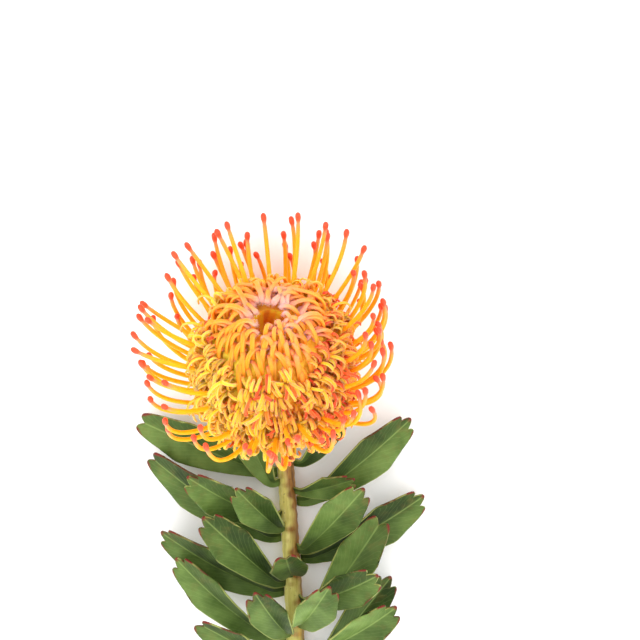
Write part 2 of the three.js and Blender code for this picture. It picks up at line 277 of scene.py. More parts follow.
def finish_piece(bm, name, materials, cad_node, smooth_faces=True):
    """Make the piece, give it its materials, attach it to the root body and hide the part of the model
    it stands for.
    """
    mesh = bpy.data.meshes.new(name)
    if smooth_faces:
        for face in bm.faces:
            face.smooth = True
    bm.to_mesh(mesh)
    bm.free()
    piece = bpy.data.objects.new(name, mesh)
    bpy.context.scene.collection.objects.link(piece)
    for material in materials:
        mesh.materials.append(material)
    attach(piece, "root")
    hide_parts(cad_node)
    return piece


# Materials

BLACK = "#000000"
WHITE = "#ffffff"
# Sockets of a Mix node that mixes colours
FACTOR, FIRST, SECOND, MIXED = 0, 6, 7, 2


def linear(code):
    """A hex sRGB colour as linear RGBA."""
    parts = [int(code[k:k + 2], 16) / 255 for k in (1, 3, 5)]
    return [c / 12.92 if c <= 0.04045 else ((c + 0.055) / 1.055) ** 2.4 for c in parts] + [1.0]


def new_material(name, roughness, **sockets):
    """A material with a principled shader; returns it, its tree and the shader."""
    material = bpy.data.materials.new(name)
    material.use_nodes = True
    tree = material.node_tree
    shader = tree.nodes["Principled BSDF"]
    shader.inputs["Roughness"].default_value = roughness
    for socket, value in sockets.items():
        shader.inputs[socket.replace("_", " ")].default_value = value
    return material, tree, shader


def node(tree, kind, output, inputs, stops=(), **settings):
    """Add a node and return one of its outputs.

    An input takes a number, a hex colour or another node's output. Stops are the (place, hex
    colour) pairs of a colour ramp, and settings are the node's own properties.
    """
    made = tree.nodes.new("ShaderNode" + kind)
    for key, value in settings.items():
        setattr(made, key, value)
    for key, value in inputs.items():
        if isinstance(value, bpy.types.NodeSocket):
            tree.links.new(value, made.inputs[key])
        else:
            made.inputs[key].default_value = linear(value) if isinstance(value, str) else value
    if stops:
        elements = made.color_ramp.elements
        elements[0].position, elements[0].color = stops[0][0], linear(stops[0][1])
        elements[1].position, elements[1].color = stops[-1][0], linear(stops[-1][1])
        for place, code in stops[1:-1]:
            elements.new(place).color = linear(code)
    return made.outputs[output]


def patches(tree, size_mm, detail=3.0, stretch=(1, 1, 1)):
    """Soft patches about size_mm across, fixed to the piece by its Object coordinates."""
    place = node(tree, "TexCoord", "Object", {})
    turned = node(tree, "Mapping", "Vector", {"Vector": place, "Scale": stretch})
    return node(tree, "TexNoise", "Fac", {
        "Vector": turned, "Scale": 1 / (size_mm * MM), "Detail": detail,
    })


def dress(tree, shader, color, height, depth_mm, strength):
    """Give the shader its colour and its fine relief."""
    relief = node(tree, "Bump", "Normal", {
        "Height": height, "Distance": depth_mm * MM, "Strength": strength,
    })
    tree.links.new(color, shader.inputs["Base Color"])
    tree.links.new(relief, shader.inputs["Normal"])


# How far light spreads under the surface of the florets: red furthest
FLESH_RADIUS = (1.0, 0.75, 0.3)


def style_material():
    # Living style: waxy, golden, peach under its coral pollen presenter, greener where it starts low
    material, tree, shader = new_material(
        "waxy_style", 0.42, Subsurface_Weight=0.5, Subsurface_Scale=0.0025,
        Subsurface_Radius=FLESH_RADIUS, Specular_IOR_Level=0.25,
    )
    along, tone = [
        node(tree, "Attribute", "Fac", {}, attribute_name=name) for name in ("along", "tone")
    ]
    golden = node(tree, "ValToRGB", "Color", {"Fac": along}, [
        (0.0, "#c0c832"), (0.3, "#dccc28"), (0.45, "#fcc41c"), (0.8, "#ffb01a"), (0.89, "#fca448"),
        (0.925, "#f6946a"), (0.95, "#ec5c3c"), (1.0, "#e64c2c"),
    ])
    warm = node(tree, "ValToRGB", "Color", {"Fac": along}, [
        (0.0, "#e8b424"), (0.3, "#fcac1a"), (0.8, "#ff9c18"), (0.89, "#fa8e3e"), (0.925, "#f0724a"),
        (0.95, "#ea5030"), (1.0, "#e04226"),
    ])
    color = node(tree, "Mix", MIXED, {FACTOR: tone, FIRST: golden, SECOND: warm}, data_type="RGBA")
    streaks = node(tree, "ValToRGB", "Color", {"Fac": patches(tree, 2.5)}, [
        (0.3, "#a86a10"), (0.7, "#ffe08a"),
    ])
    color = node(
        tree, "Mix", MIXED, {FACTOR: 0.08, FIRST: color, SECOND: streaks},
        data_type="RGBA", blend_type="OVERLAY",
    )
    dress(tree, shader, color, patches(tree, 0.5), 0.05, 0.5)
    return material


def tube_material():
    # Rolled flower tubes: soft, downy, golden down the middle with paler peach to salmon edges
    material, tree, shader = new_material(
        "downy_flower_tube", 0.65, Subsurface_Weight=0.8, Subsurface_Scale=0.005,
        Subsurface_Radius=FLESH_RADIUS, Specular_IOR_Level=0.15,
    )
    along, across, tone = [node(tree, "Attribute", "Fac", {}, attribute_name=name) for name in CARRIED]
    edge = node(tree, "ValToRGB", "Color", {"Fac": across}, [(0.45, BLACK), (0.95, WHITE)])
    middle, edges, red_middle, red_edges = [
        node(tree, "ValToRGB", "Color", {"Fac": along}, stops) for stops in (
            [(0.0, "#dcc838"), (0.25, "#fed026"), (0.6, "#ffc826"), (0.85, "#ffbc40"), (1.0, "#fc9a50")],
            [(0.0, "#e0d050"), (0.3, "#fed454"), (0.6, "#ffd068"), (0.85, "#ffc278"), (1.0, "#f8a074")],
            [(0.0, "#ffa834"), (0.3, "#ff8c2c"), (0.6, "#f86034"), (1.0, "#ea3c2a")],
            [(0.0, "#ffb44c"), (0.3, "#ffa050"), (0.6, "#f87e56"), (1.0, "#ee563c")],
        )
    ]
    yellow, red = [
        node(tree, "Mix", MIXED, {FACTOR: edge, FIRST: first, SECOND: second}, data_type="RGBA")
        for first, second in ((middle, edges), (red_middle, red_edges))
    ]
    color = node(tree, "Mix", MIXED, {FACTOR: tone, FIRST: yellow, SECOND: red}, data_type="RGBA")
    mottle = node(tree, "ValToRGB", "Color", {"Fac": patches(tree, 1.4)}, [
        (0.35, "#ffa060"), (0.65, "#ffe8b0"),
    ])
    color = node(
        tree, "Mix", MIXED, {FACTOR: 0.12, FIRST: color, SECOND: mottle},
        data_type="RGBA", blend_type="MULTIPLY",
    )
    dress(tree, shader, color, patches(tree, 0.3, 4), 0.06, 0.6)
    return material


def bud_material():
    # Unopened florets: a waxy golden bow, peach along its edges, with a woolly greyish pink tip
    material, tree, shader = new_material(
        "waxy_bowed_style", 0.48, Subsurface_Weight=0.6, Subsurface_Scale=0.0025,
        Subsurface_Radius=FLESH_RADIUS, Specular_IOR_Level=0.2,
    )
    along, across, tone = [node(tree, "Attribute", "Fac", {}, attribute_name=name) for name in CARRIED]
    edge = node(tree, "ValToRGB", "Color", {"Fac": across}, [(0.4, BLACK), (1.0, WHITE)])
    middle, edges, red = [
        node(tree, "ValToRGB", "Color", {"Fac": along}, stops) for stops in (
            [
                (0.0, "#ccb438"), (0.25, "#ff9e1c"), (0.55, "#fe9620"), (0.74, "#fa9436"),
                (0.85, "#ee9860"), (0.93, "#e4a48e"), (1.0, "#d29e94"),
            ], [
                (0.0, "#ccbc48"), (0.25, "#ffb03c"), (0.55, "#fea84a"), (0.74, "#faa45c"),
                (0.85, "#f2aa7c"), (0.93, "#eab4a2"), (1.0, "#daaaa0"),
            ], [
                (0.0, "#d8a83a"), (0.3, "#ff9a30"), (0.55, "#fe9a50"), (0.72, "#f8a07a"),
                (0.84, "#eaa89c"), (1.0, "#d8a8a4"),
            ],
        )
    ]
    yellow = node(tree, "Mix", MIXED, {FACTOR: edge, FIRST: middle, SECOND: edges}, data_type="RGBA")
    color = node(tree, "Mix", MIXED, {FACTOR: tone, FIRST: yellow, SECOND: red}, data_type="RGBA")
    dress(tree, shader, color, patches(tree, 0.4, 4), 0.05, 0.5)
    return material


def hair_material():
    # Fine silky hairs on the flower tubes' tips, white to pale pink
    material, tree, shader = new_material("silky_hair", 0.55, Sheen_Weight=0.3)
    tone = node(tree, "Attribute", "Fac", {}, attribute_name="tone")
    color = node(tree, "ValToRGB", "Color", {"Fac": tone}, [
        (0.0, "#fff0e6"), (0.6, "#fbdccc"), (1.0, "#f6c4b6"),
    ])
    tree.links.new(color, shader.inputs["Base Color"])
    return material


def core_material():
    # Packed bases of the flower tubes, seen between the curls in ochre to olive yellow, and the
    # brown and golden streaked wall of the hollow at the crown
    material, tree, shader = new_material(
        "packed_tube_bases", 0.8, Subsurface_Weight=0.7, Subsurface_Scale=0.005,
        Subsurface_Radius=FLESH_RADIUS, Specular_IOR_Level=0.15,
    )
    greener, streak, hollow = [
        node(tree, "Attribute", "Fac", {}, attribute_name=name) for name in CARRIED
    ]
    ochre = node(tree, "ValToRGB", "Color", {"Fac": patches(tree, 3.0, 5)}, [
        (0.3, "#f89620"), (0.5, "#ffaa30"), (0.7, "#ffba44"),
    ])
    wall = node(tree, "ValToRGB", "Color", {"Fac": streak}, [
        (0.2, "#d8781a"), (0.5, "#ec9820"), (0.8, "#f0b828"),
    ])
    color = node(
        tree, "Mix", MIXED, {FACTOR: greener, FIRST: ochre, SECOND: "#d8c43a"}, data_type="RGBA",
    )
    color = node(tree, "Mix", MIXED, {FACTOR: hollow, FIRST: color, SECOND: wall}, data_type="RGBA")
    dress(tree, shader, color, patches(tree, 0.8, 4), 0.4, 0.8)
    return material


def bract_material():
    # Small woolly bracts: pale green, browning at their tips
    material, tree, shader = new_material("woolly_bract", 0.75, Sheen_Weight=0.4)
    along = node(tree, "Attribute", "Fac", {}, attribute_name="along")
    color = node(tree, "ValToRGB", "Color", {"Fac": along}, [
        (0.0, "#8f9a44"), (0.5, "#b9bf6c"), (0.8, "#b8a35c"), (1.0, "#7a4a2e"),
    ])
    wool = node(tree, "ValToRGB", "Color", {"Fac": patches(tree, 0.9)}, [
        (0.3, "#5f6a2c"), (0.7, "#f4f2c4"),
    ])
    color = node(
        tree, "Mix", MIXED, {FACTOR: 0.25, FIRST: color, SECOND: wool},
        data_type="RGBA", blend_type="OVERLAY",
    )
    dress(tree, shader, color, patches(tree, 0.3, 4), 0.06, 0.7)
    return material


def bark_material():
    # Young green-wood bark, finely streaked: straw to olive yellow; brown near the head and at the
    # leaves' feet, and on the right as painted shade; darker olive towards the cut as painted leaf shade
    material, tree, shader = new_material("young_bark", 0.5, Coat_Weight=0.04)
    painted_leaf_shade, brown_and_shade_amount = [
        node(tree, "Attribute", "Fac", {}, attribute_name=name) for name in ("across", "tone")
    ]
    streaks = patches(tree, 1.6, 5, (1, 0.14, 1))
    straw = node(tree, "ValToRGB", "Color", {"Fac": streaks}, [
        (0.28, "#bcae4c"), (0.5, "#d6cc6a"), (0.72, "#ece28c"),
    ])
    brown_and_shade = node(tree, "ValToRGB", "Color", {"Fac": streaks}, [
        (0.3, "#6a460e"), (0.5, "#946422"), (0.72, "#b88634"),
    ])
    # painted shade: darker olive towards the cut, where the leaves round the stem shade it
    color = node(
        tree, "Mix", MIXED, {FACTOR: painted_leaf_shade, FIRST: straw, SECOND: "#9c963c"}, data_type="RGBA",
    )
    # brown near the head and at the leaves' feet, and painted shade on the right side, away from the key
    # lamp
    shade_and_flush = node(
        tree, "Math", "Value", {0: patches(tree, 7, 3, (1, 0.3, 1)), 1: 0.9, 2: brown_and_shade_amount},
        operation="MULTIPLY_ADD",
    )
    shade_and_flush_mask = node(tree, "ValToRGB", "Color", {"Fac": shade_and_flush}, [(0.62, BLACK), (1.25, WHITE)])
    color = node(tree, "Mix", MIXED, {FACTOR: shade_and_flush_mask, FIRST: color, SECOND: brown_and_shade}, data_type="RGBA")
    specks = node(tree, "ValToRGB", "Color", {"Fac": patches(tree, 0.9, 5)}, [
        (0.66, BLACK), (0.72, WHITE),
    ])
    specks = node(tree, "Math", "Value", {0: specks, 1: 0.7}, operation="MULTIPLY")
    color = node(
        tree, "Mix", MIXED, {FACTOR: specks, FIRST: color, SECOND: "#5f4420"}, data_type="RGBA",
    )
    dress(tree, shader, color, patches(tree, 0.7, 6, (1, 0.3, 1)), 0.12, 0.7)
    return material


def cut_material():
    # Freshly cut green wood: pale straw with a greener rim and a browner, soft pith
    material, tree, shader = new_material("cut_green_wood", 0.7)
    along = node(tree, "Attribute", "Fac", {}, attribute_name="along")
    color = node(tree, "ValToRGB", "Color", {"Fac": along}, [
        (0.0, "#a08c58"), (0.25, "#c8be88"), (1.0, "#98a050"),
    ])
    dress(tree, shader, color, patches(tree, 0.4, 5), 0.08, 0.6)
    return material


# The veins of a leaf: how they climb from the midrib, how they waver, and the radians of their wave
# from foot to tip, which set them about 4 mm apart
VEIN_CLIMB = -0.42
VEIN_WAVER = 0.02
VEIN_WAVE = 82.0


def leaf_material():
    # Leathery leaf: olive green under a dull bloom, laid thicker on the half facing the lamps as painted
    # light, faint ascending veins, a thin pale rim that browns in patches towards the tip, and dark red
    # horny points on its lobes
    material, tree, shader = new_material("leathery_leaf", 0.45, Specular_IOR_Level=0.15)
    uv = node(tree, "UVMap", "UV", {}, uv_map="UVMap")
    side = node(tree, "SeparateXYZ", "X", {"Vector": uv})
    length = node(tree, "SeparateXYZ", "Y", {"Vector": uv})
    across = node(tree, "Math", "Value", {0: side}, operation="ABSOLUTE")
    tone, tip, rim, callus = [
        node(tree, "Attribute", "Fac", {}, attribute_name=name)
        for name in ("tone", "tip", "rim", "callus")
    ]

    broad = patches(tree, 9, 4)
    green = node(tree, "ValToRGB", "Color", {"Fac": broad}, [
        (0.3, "#162504"), (0.5, "#213308"), (0.72, "#2f4310"),
    ])
    # painted light: the pale bloom colour also stands for the light on the half of each blade that faces
    # the lamps
    bloom_and_lit_half = node(tree, "ValToRGB", "Color", {"Fac": broad}, [(0.3, "#506a2a"), (0.7, "#78924a")])
    color = node(tree, "Mix", MIXED, {FACTOR: tone, FIRST: green, SECOND: bloom_and_lit_half}, data_type="RGBA")

    climb = node(
        tree, "Math", "Value", {0: across, 1: VEIN_CLIMB, 2: length}, operation="MULTIPLY_ADD",
    )
    waver = node(
        tree, "Math", "Value", {0: patches(tree, 6, 2), 1: VEIN_WAVER, 2: climb},
        operation="MULTIPLY_ADD",
    )
    phase = node(tree, "Math", "Value", {0: waver, 1: VEIN_WAVE}, operation="MULTIPLY")
    wave = node(tree, "Math", "Value", {0: phase}, operation="SINE")
    veins = node(tree, "ValToRGB", "Color", {"Fac": wave}, [(0.86, BLACK), (1.0, WHITE)])
    midrib = node(tree, "ValToRGB", "Color", {"Fac": across}, [(0.015, WHITE), (0.06, BLACK)])

    # the far half browns a little in blotches
    far = node(tree, "ValToRGB", "Color", {"Fac": tip}, [(0.55, BLACK), (1.0, WHITE)])
    blotch = node(tree, "ValToRGB", "Color", {"Fac": patches(tree, 4, 3)}, [
        (0.5, BLACK), (0.68, WHITE),
    ])
    browned = node(tree, "Math", "Value", {0: far, 1: blotch}, operation="MULTIPLY")

    # the rim attribute is the distance to the leaf's edge in millimetres
    edge = node(tree, "ValToRGB", "Color", {"Fac": rim}, [(0.1, WHITE), (0.3, BLACK)])
    patchy = node(tree, "ValToRGB", "Color", {"Fac": patches(tree, 7, 2)}, [
        (0.4, BLACK), (0.58, WHITE),
    ])
    near_tip = node(tree, "ValToRGB", "Color", {"Fac": tip}, [(0.68, BLACK), (0.96, WHITE)])
    darkened = node(tree, "Math", "Value", {0: near_tip, 1: patchy}, operation="MULTIPLY")
    rim_color = node(
        tree, "Mix", MIXED, {FACTOR: darkened, FIRST: "#98a058", SECOND: "#5c3020"},
        data_type="RGBA",
    )
    horny = node(tree, "ValToRGB", "Color", {"Fac": callus}, [(0.55, BLACK), (0.9, WHITE)])
    specks = node(tree, "ValToRGB", "Color", {"Fac": patches(tree, 1.1, 6)}, [
        (0.69, BLACK), (0.76, WHITE),
    ])

    # each lies over the ones before it: where it shows, how strongly, and its colour
    for mask, strength, paint in (
        (veins, 0.07, "#a9bd72"), (midrib, 0.3, "#9db464"), (browned, 0.32, "#6d5a2c"),
        (edge, 0.8, rim_color), (horny, 1.0, "#702a22"), (specks, 0.5, "#6a3a2a"),
    ):
        weight = node(tree, "Math", "Value", {0: mask, 1: strength}, operation="MULTIPLY")
        color = node(
            tree, "Mix", MIXED, {FACTOR: weight, FIRST: color, SECOND: paint}, data_type="RGBA",
        )
    height = node(tree, "Math", "Value", {0: veins, 1: patches(tree, 1.2, 4)}, operation="ADD")
    dress(tree, shader, color, height, 0.08, 0.4)
    return material


# Florets

def floret(i):
    """Where floret i stands on the core, its first direction, and how far it has opened."""
    f = (i + 0.5) / FLORETS
    turn = math.radians(i * GOLDEN_ANGLE + 7 * (chance(i, 1) - 0.5))
    opened = OPEN_SHARE + OPEN_SLANT * math.sin(turn) + 0.08 * (chance(i, 2) - 0.5)
    kind = "rolled"
    if f > BUD_SHARE:
        kind = "bud"
    elif f < opened:
        kind = "open"
    return {
        "i": i,
        "f": f,
        "turn": turn,
        "kind": kind,
        "r": 7 - 3.5 * f,
        "s": 8 + 44 * f,
        "angle": 95 - 56 * f - 20 * f * f,
        "tube": between([20, 25, 28, 28, 18], f),
    }


def redness(one, k):
    """How red a floret is: more on the right and near the viewer, with a spread of its own."""
    right = math.cos(one["turn"]) * (1 - 0.4 * math.sin(one["turn"]))
    return clamp(0.3 + 0.5 * right + 0.6 * (chance(one["i"], k) - 0.5))


def style_curve(one):
    """An open style's curve: it leaves the head, then bends up to the axis, most on the right."""
    i, f = one["i"], one["f"]
    first = one["angle"] + 8 * (chance(i, 3) - 0.5)
    crowded = RIGHT_BEND * max(0, math.cos(one["turn"]))
    bend = 112 - 196 * f + 86 * f * f + crowded + 24 * (chance(i, 4) - 0.5)
    length = STYLE_LENGTH * (0.95 + 0.1 * chance(i, 5))
    sway = 16 * (chance(i, 6) - 0.5)
    steps = 60
    curve = []
    r, s = one["r"], one["s"]
    for k in range(steps + 1):
        t = k / steps
        curve.append(head_point(r, s, sway * t * t, one["turn"]))
        heading = math.radians(first - bend * (t + 0.5 / steps) ** 2)
        r += length / steps * math.sin(heading)
        s += length / steps * math.cos(heading)

    def at(t):
        place = t * steps
        low = min(math.floor(place), steps - 1)
        return curve[low].lerp(curve[low + 1], place - low)

    return at


# The pollen presenter: places along the style, and the thickness there as a share of the knob's
STYLE_KNOB = [
    (0.915, 0.62), (0.928, 0.66), (0.94, 0.8), (0.953, 0.94), (0.967, 1.0), (0.98, 0.94),
    (0.991, 0.72), (0.998, 0.36),
]
STYLE_RINGS = 20


def add_style(bm, template, one):
    """An open style from inside the core to its pollen presenter."""
    at = style_curve(one)
    root = 0.5 * one["tube"] / STYLE_LENGTH
    places = [mix(root, 0.9, k / (STYLE_RINGS - 1)) for k in range(STYLE_RINGS)]
    radii = [mix(0.92, 0.7, (t - root) ** 1.5) * STYLE_RADIUS for t in places]
    places += [t for t, _ in STYLE_KNOB]
    radii += [0.88 * w * PRESENTER_RADIUS for _, w in STYLE_KNOB]
    points = [settle(at(t), STYLE_RADIUS) for t in places]
    tone = clamp(0.7 * redness(one, 9) + 0.4 * one["f"])
    verts = bend_tube(bm, template, points, radii, side_of(one["turn"]), tone=tone)
    # the rings aren't evenly spaced, so their places are written over the even ones
    layer = bm.verts.layers.float["along"]
    for vert in verts:
        vert[layer] = places[round(vert[layer] * (len(places) - 1))]


CURL_RINGS = 11
STRIPS = 11
SHEATH_RADIUS = 1.9
# Chances that a strip stands askew, and that a strip of a yellow floret is salmon
ASKEW = 0.3
SALMON = 0.08


def add_curls(bm, template, hairs, one):
    """The sheath at the foot of an opened floret, and its strips, rolled back in fine ribbons."""
    i, turn = one["i"], one["turn"]
    at = style_curve(one)
    side = side_of(turn)
    tube = one["tube"] / STYLE_LENGTH
    tone = redness(one, 10)
    sheath = [at(mix(0.5 * tube, 0.86 * tube, k / (CURL_RINGS - 1))) for k in range(CURL_RINGS)]
    sheath = [settle(point, 1.5) for point in sheath]
    bend_tube(bm, template, sheath, [SHEATH_RADIUS] * CURL_RINGS, side, span=(0, 0.3), tone=tone)
    start = at(0.8 * tube)
    forward = (at(1.1 * tube) - start).normalized()
    outward = side.cross(forward).normalized()
    for strip in range(STRIPS):
        # half roll towards the crown and half away from it, side by side, some of them askew
        spread = 150 if chance(i, 100 + strip) < ASKEW else 44
        roll = math.radians(180 * (strip % 2) + spread * (chance(i, 120 + strip) - 0.5))
        away = outward * math.cos(roll) + side * math.sin(roll)
        aside = 0.85 * (strip // 2 - 2.5) + 0.8 * (chance(i, 140 + strip) - 0.5)
        length = 7 + 10 * chance(i, 160 + strip)
        curl = math.radians(170 + 190 * chance(i, 180 + strip))
        point = start + away * 0.4 + side * aside + forward * (5 * chance(i, 200 + strip) - 2)
        # it rises straight at first, and rolls tighter towards its end
        angle = math.radians(-10)
        points = []
        for k in range(CURL_RINGS):
            points.append(settle(point.copy(), 0.6))
            u = (k + 0.5) / (CURL_RINGS - 1)
            angle += curl / (CURL_RINGS - 1) * min(1.6 * u, 1.15)
            step = length / (CURL_RINGS - 1)
            point = point + (forward * math.cos(angle) + away * math.sin(angle)) * step
        girth = 0.62 + 0.3 * chance(i, 260 + strip)
        radii = [girth * w for w in [1.0] * (CURL_RINGS - 4) + [0.9, 0.85, 0.95, 0.6]]
        salmon = 0.8 if chance(i, 220 + strip) < SALMON + 0.3 * tone else 0
        strip_tone = clamp(0.5 * tone + salmon + 0.4 * (chance(i, 240 + strip) - 0.5))
        bend_tube(
            bm, template, points, radii, forward.cross(away),
            flat=0.62, span=(0.3, 1.0), tone=strip_tone,
        )
        if strip % 4 == 0:
            hairs.append((points[-2], (points[-1] - points[-3]).normalized(), 0.7, i * 8 + strip))


SKIRT_ROWS = 6


def add_skirt(bm, template):
    """The lowest tubes: they lie round the foot of the head in rows and roll back at their ends."""
    for row in range(SKIRT_ROWS):
        count = 24 + 4 * row
        for n in range(count):
            k = 50 * row + n
            turn = (n + 0.5 * (row % 2) + 0.5 * (chance(k, 70) - 0.5)) / count * 2 * math.pi
            r = 9.6 + 2 * row + 0.8 * (chance(k, 76) - 0.5)
            down = (r - 9) / 12
            s = between([0.3, 2.4, 4.5, 11], down) - 0.6
            angle = math.radians(between([62, 62, 46, 32], down) + 10 * chance(k, 71))
            curl = math.radians(110 + 120 * chance(k, 72))
            length = 10 + 3.5 * chance(k, 73)
            skew = 0.5 * (chance(k, 74) - 0.5)
            points = []
            for ring in range(CURL_RINGS):
                u = ring / (CURL_RINGS - 1)
                points.append(settle(head_point(r, s, skew * length * u, turn), 0.7))
                angle += curl / (CURL_RINGS - 1) * 3.6 * u ** 3
                r += length / (CURL_RINGS - 1) * math.sin(angle)
                s += length / (CURL_RINGS - 1) * math.cos(angle)
            radii = [1.15] * (CURL_RINGS - 3) + [1.0, 0.9, 0.6]
            tone = 0.6 * redness({"turn": turn, "i": k}, 75) + (0.6 if chance(k, 77) < 0.15 else 0)
            bend_tube(bm, template, points, radii, side_of(turn), flat=0.7, span=(0.1, 1), tone=tone)


def cubic(a, b, c, d, t):
    """A point of the Bezier curve with ends a and d."""
    u = 1 - t
    return a * u ** 3 + b * 3 * u * u * t + c * 3 * u * t * t + d * t ** 3


def bud_bow(one):
    """The bow of an unopened floret as (r, s) at t, and how far its plane is turned sideways."""
    i = one["i"]
    # from 0 for the outermost buds to 1 at the crown
    inner = (one["f"] - BUD_SHARE) / (1 - BUD_SHARE)
    tip_r = math.sqrt(mix(SHOULDER[0] ** 2, HOLLOW[0] ** 2, inner))
    fall = (tip_r - HOLLOW[0]) / (SHOULDER[0] - HOLLOW[0])
    tip_s = HOLLOW[1] - (HOLLOW[1] - SHOULDER[1]) * max(fall, 0) ** 1.6
    # the bows stand out widest on the far side, at the top of the picture
    wide = smooth(0.6 + 0.8 * math.sin(one["turn"])) * (0.3 + 0.7 * chance(i, 4))
    wide += 0.12 * chance(i, 5)
    width = mix(4.5, mix(8, 17, inner), wide)
    lift = math.radians(mix(30, 5, inner) + 15 * wide + 12 * (chance(i, 3) - 0.5))
    held = math.radians(mix(80, 30, wide))
    # the youngest buds, three quarters of a step on, have smaller bows
    small = 0.62 if i % 1 == 0.75 else 1.0
    tip = Vector((tip_r, tip_s))
    leaves = tip + Vector((width, -mix(15, 12, wide))) * small
    up = leaves + Vector((math.sin(lift), math.cos(lift))) * mix(17, 13, wide) * small
    over = tip + Vector((math.cos(held), math.sin(held))) * mix(9, 11, wide) * small

    def at(t):
        if t < 0:
            return leaves.lerp(Vector((0.62 * leaves.x, leaves.y - 9)), -t)
        return cubic(leaves, up, over, tip, t)

    # those between the construction model's florets turn further sideways
    loose = 0.9 if i == int(i) else 1.5
    return at, loose * (chance(i, 6) - 0.5)


# The bud's woolly tip: places along the bow, and the thickness there as a share of the bow's
BUD_TIP = [
    (0.8, 0.9), (0.84, 1.0), (0.88, 1.25), (0.92, 1.42), (0.955, 1.38), (0.985, 1.05), (1.0, 0.5),
]
BUD_RINGS = 20


def add_bud(bm, template, hairs, one):
    """An unopened floret: its style bows out, and the held tip points back at the hollow."""
    i, turn = one["i"], one["turn"]
    at, skew = bud_bow(one)
    leg = at(0).x
    # places below 0 are inside the head
    places = [mix(-0.6, 0.77, k / (BUD_RINGS - 1)) for k in range(BUD_RINGS)]
    girth = BUD_RADIUS * mix(0.75, 1.0, chance(i, 16))
    radii = [mix(1.05, 0.88, max(t, 0)) * girth for t in places]
    places += [t for t, _ in BUD_TIP]
    radii += [w * girth for _, w in BUD_TIP]
    points = []
    for t in places:
        spot = at(t)
        points.append(settle(head_point(spot.x, spot.y, skew * (leg - spot.x), turn), BUD_RADIUS))
    verts = bend_tube(bm, template, points, radii, side_of(turn), flat=0.68, tone=redness(one, 10))
    layer = bm.verts.layers.float["along"]
    for vert in verts:
        vert[layer] = max(places[round(vert[layer] * (len(places) - 1))], 0)
    heading = (points[-1] - points[-4]).normalized()
    hairs.append((points[-2], heading, 1.3, 1000 + i * 2))
    hairs.append((points[-4], heading, 1.5, 1001 + i * 2))


HAIRS_IN_TUFT = 14
# No hair comes nearer to the surface than this; a tuft spins by up to one turn, in radians
HAIR_CLEARANCE = 0.2
TUFT_SPIN = 6.28


def tuft_template():
    """A tuft of short hairs round the origin, pointing out and along +Z."""
    bm = bmesh.new()
    for k in range(HAIRS_IN_TUFT):
        tilt = math.radians(25 + 75 * chance(k, 50))
        turn = math.radians(k * GOLDEN_ANGLE)
        matrix = Matrix.Rotation(turn, 4, "Z") @ Matrix.Rotation(tilt, 4, "Y")
        matrix = matrix @ Matrix.Translation((0, 0, 0.8))
        bmesh.ops.create_cone(
            bm, cap_ends=True, segments=3, radius1=0.045, radius2=0.012,
            depth=0.5 + 0.6 * chance(k, 51), matrix=matrix,
        )
    mesh = bpy.data.meshes.new("tuft_template")
    bm.to_mesh(mesh)
    bm.free()
    return mesh


def add_tuft(bm, template, place, heading, size, n):
    """A tuft on a tip, along its heading; the number n gives its spin and tone."""
    old = len(bm.verts)
    bm.from_mesh(template)
    bm.verts.ensure_lookup_table()
    tone_layer = bm.verts.layers.float["tone"]
    spin = Matrix.Rotation(TUFT_SPIN * chance(n, 52), 3, "Z")
    turned = heading.to_track_quat("Z", "Y").to_matrix() @ spin
    tone = chance(n, 53)
    for vert in bm.verts[old:]:
        vert.co = (place + turned @ vert.co * size) * MM
        vert.co.z = max(vert.co.z, HAIR_CLEARANCE * MM)
        vert[tone_layer] = tone


def build_head():
    """Every floret of the head: styles, curls, buds and the hairs on their tips."""
    florets = [floret(i) for i in range(FLORETS)]
    florets += [floret(i + 0.5) for i in range(FLORETS) if chance(i, 60) < HALFWAY_CHANCE]
    between_them = [floret(i + 0.25) for i in range(FLORETS) if chance(i, 61) < QUARTER_CHANCE]
    between_them += [floret(i + 0.75) for i in range(round(YOUNGEST_FROM * FLORETS), FLORETS)]
    # below the buds, curls fill the places that are left out, so that they cover the core
    left_out = [floret(i + 0.5) for i in range(FLORETS) if chance(i, 60) >= HALFWAY_CHANCE]
    left_out += [floret(i + 0.25) for i in range(FLORETS) if chance(i, 61) >= QUARTER_CHANCE]
    between_them += [one for one in left_out if one["kind"] != "bud"]
    for n, (azimuth, f) in enumerate(BARE_PLACES):
        one = floret(f * FLORETS)
        one["i"], one["turn"] = 500 + n, math.radians(azimuth)
        between_them.append(one)
    style_tube = tube_template(8, STYLE_RINGS + len(STYLE_KNOB))
    curl_tube = tube_template(5, CURL_RINGS)
    bud_tube = tube_template(8, BUD_RINGS + len(BUD_TIP))
    styles, curls, inner_curls, buds, tufts = [new_bmesh() for _ in range(5)]
    # place, heading, size and number of each tuft
    hairs = []
    for one in florets:
        if one["kind"] == "bud":
            add_bud(buds, bud_tube, hairs, one)
            continue
        if one["kind"] == "open":
            add_style(styles, style_tube, one)
        add_curls(curls, curl_tube, hairs, one)
    for one in between_them:
        if one["kind"] == "bud":
            add_bud(buds, bud_tube, hairs, one)
        else:
            add_curls(inner_curls, curl_tube, hairs, one)
    add_skirt(inner_curls, curl_tube)
    tuft = tuft_template()
    for place, heading, size, n in hairs:
        add_tuft(tufts, tuft, place, heading, size, n)
    downy = tube_material()
    for bm, name, material, smooth_faces in (
        (styles, "styles_with_pollen_presenters", style_material(), True),
        (curls, "rolled_flower_tubes", downy, True),
        (inner_curls, "flower_tubes_between", downy, True),
        (buds, "bowed_unopened_florets", bud_material(), True),
        (tufts, "silky_hairs", hair_material(), False),
    ):
        finish_piece(bm, name, [material], "flower_head", smooth_faces)


